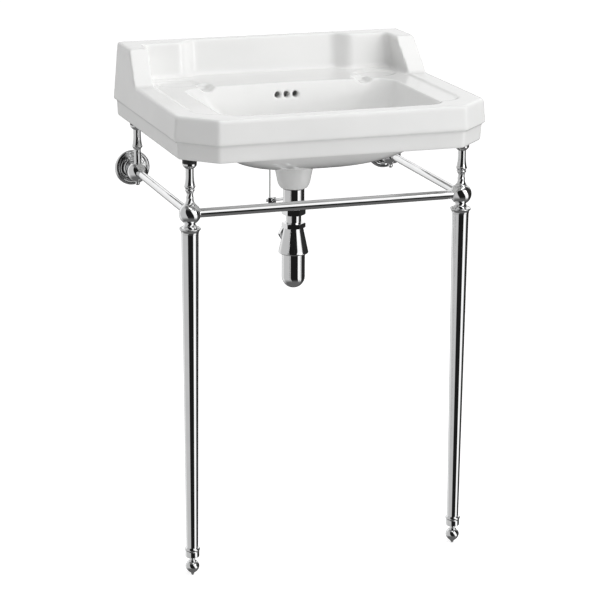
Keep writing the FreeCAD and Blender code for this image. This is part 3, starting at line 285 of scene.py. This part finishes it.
# ---------------------------------------------------------------- studio
def studio_floor():
    """A pale floor that takes the object's shadow, lit up for the camera and left out of reflections."""
    bpy.ops.object.select_all(action="DESELECT")
    bpy.ops.mesh.primitive_plane_add(size=FLOOR_SIDE, location=FLOOR_MIDDLE)
    floor = bpy.context.active_object
    floor.name = "studio_floor"
    finish, tree, shader = new_finish("studio_floor")
    shader.inputs["Base Color"].default_value = grey(FLOOR_TONE)
    shader.inputs["Roughness"].default_value = FLOOR_ROUGHNESS
    path = tree.nodes.new("ShaderNodeLightPath")
    level = tree.nodes.new("ShaderNodeMath")
    level.operation = "MULTIPLY"
    level.inputs[1].default_value = FLOOR_GLOW
    glow = tree.nodes.new("ShaderNodeEmission")
    both = tree.nodes.new("ShaderNodeAddShader")
    out = next(n for n in tree.nodes if n.type == "OUTPUT_MATERIAL")
    tree.links.new(path.outputs["Is Camera Ray"], level.inputs[0])
    tree.links.new(level.outputs["Value"], glow.inputs["Strength"])
    tree.links.new(shader.outputs["BSDF"], both.inputs[0])
    tree.links.new(glow.outputs["Emission"], both.inputs[1])
    tree.links.new(both.outputs["Shader"], out.inputs["Surface"])
    floor.data.materials.append(finish)
    floor.visible_glossy = False


def studio_world():
    """White to the camera, dark and bright panels to what is shiny, and a soft uneven light for the rest."""
    world = bpy.data.worlds.new("studio")
    bpy.context.scene.world = world
    world.use_nodes = True
    tree = world.node_tree
    tree.nodes.clear()

    def maths(operation, first, second):
        """A calculation on a socket with a number."""
        made = tree.nodes.new("ShaderNodeMath")
        made.operation = operation
        tree.links.new(first, made.inputs[0])
        made.inputs[1].default_value = second
        return made

    def feed(socket, value):
        """Sets a grey on the socket, or links a colour to it."""
        if isinstance(value, float):
            socket.default_value = grey(value)
        else:
            tree.links.new(value, socket)

    def round_about(stops, turn):
        """Brightness by compass angle."""
        made = tree.nodes.new("ShaderNodeValToRGB")
        ramp = made.color_ramp
        ramp.interpolation = "LINEAR"
        while len(ramp.elements) > 1:
            ramp.elements.remove(ramp.elements[-1])
        for i, (degrees, level) in enumerate(stops):
            at = (degrees + 180) / 360
            stop = ramp.elements[0] if i == 0 else ramp.elements.new(at)
            stop.position = at
            stop.color = grey(level)
        tree.links.new(turn, made.inputs["Fac"])
        return made.outputs["Color"]

    def zones(lower, heights, upper):
        """The lower colour up to the first height, and the upper one from the second."""
        mix = tree.nodes.new("ShaderNodeMix")
        mix.data_type = "RGBA"
        span = [math.sin(math.radians(degrees)) for degrees in heights]
        tree.links.new(spread(tree, direction.outputs["Z"], span), mix.inputs["Factor"])
        feed(mix.inputs["A"], lower)
        feed(mix.inputs["B"], upper)
        return mix.outputs["Result"]

    def background(colour):
        made = tree.nodes.new("ShaderNodeBackground")
        made.inputs["Strength"].default_value = 1.0
        feed(made.inputs["Color"], colour)
        return made.outputs["Background"]

    def either(ray, without, with_it):
        """One shader for the rays of this kind, and another for the rest."""
        made = tree.nodes.new("ShaderNodeMixShader")
        tree.links.new(path.outputs[ray], made.inputs["Fac"])
        tree.links.new(without, made.inputs[1])
        tree.links.new(with_it, made.inputs[2])
        return made.outputs["Shader"]

    place = tree.nodes.new("ShaderNodeTexCoord")
    path = tree.nodes.new("ShaderNodeLightPath")
    direction = tree.nodes.new("ShaderNodeSeparateXYZ")
    tree.links.new(place.outputs["Generated"], direction.inputs["Vector"])
    front = maths("MULTIPLY", direction.outputs["Y"], -1)
    compass = tree.nodes.new("ShaderNodeMath")
    compass.operation = "ARCTAN2"
    tree.links.new(direction.outputs["X"], compass.inputs[0])
    tree.links.new(front.outputs["Value"], compass.inputs[1])
    turn = spread(tree, compass.outputs["Value"], (-math.pi, math.pi))
    slanted = maths("MULTIPLY_ADD", direction.outputs["Z"], PANEL_SLANT)
    tree.links.new(turn, slanted.inputs[2])
    slanted = slanted.outputs["Value"]

    mirrored = zones(MIRRORED_BELOW, MIRRORED_BELOW_TO_LOW, round_about(MIRRORED_LOW, slanted))
    mirrored = zones(mirrored, MIRRORED_LOW_TO_HIGH, round_about(MIRRORED_HIGH, slanted))
    mirrored = zones(mirrored, MIRRORED_HIGH_TO_ABOVE, MIRRORED_ABOVE)
    light = zones(LIGHT_BELOW, LIGHT_BELOW_TO_LOW, round_about(LIGHT_LOW, turn))
    light = zones(light, LIGHT_LOW_TO_HIGH, round_about(LIGHT_HIGH, turn))
    light = zones(light, LIGHT_HIGH_TO_ABOVE, LIGHT_ABOVE)
    seen_by_object = either("Is Glossy Ray", background(light), background(mirrored))
    out = tree.nodes.new("ShaderNodeOutputWorld")
    tree.links.new(either("Is Camera Ray", seen_by_object, background(WHITE)), out.inputs["Surface"])


def soft_lamp(name, place, aim, size, power):
    data = bpy.data.lights.new(name, "AREA")
    data.shape = "RECTANGLE"
    data.size, data.size_y = size
    data.energy = power
    lamp = bpy.data.objects.new(name, data)
    bpy.context.scene.collection.objects.link(lamp)
    lamp.location = place
    lamp.rotation_euler = (Vector(aim) - Vector(place)).to_track_quat("-Z", "Y").to_euler()


def photograph_camera():
    """The photograph's camera, turned by yaw, then pitch, then roll."""
    place = Vector(CAMERA_PLACE)
    yaw, pitch, roll = (math.radians(angle) for angle in (CAMERA_YAW, CAMERA_PITCH, CAMERA_ROLL))
    forward = Vector((math.sin(yaw) * math.cos(pitch), math.cos(yaw) * math.cos(pitch), math.sin(pitch)))
    level = Vector((math.cos(yaw), -math.sin(yaw), 0))
    above = level.cross(forward)
    right = math.cos(roll) * level + math.sin(roll) * above
    up = -math.sin(roll) * level + math.cos(roll) * above
    data = bpy.data.cameras.new("camera")
    data.sensor_width = SENSOR_WIDTH
    data.lens = FOCAL_PIXELS / PHOTO_PIXELS * SENSOR_WIDTH
    camera = bpy.data.objects.new("camera", data)
    bpy.context.scene.collection.objects.link(camera)
    turned = Matrix((right, up, -forward)).transposed()
    camera.matrix_world = Matrix.Translation(place) @ turned.to_4x4()
    bpy.context.scene.camera = camera


for node, thing in frame["nodes"].items():
    dress(thing, SLOT_OF[node])
glazed_basin()
for node in sorted(frame["nodes"]):
    if SLOT_OF[node] == "chrome":
        polished(node)
studio_floor()
studio_world()
for lamp in LAMPS:
    soft_lamp(*lamp)
photograph_camera()
bpy.context.scene.view_settings.view_transform = "Standard"
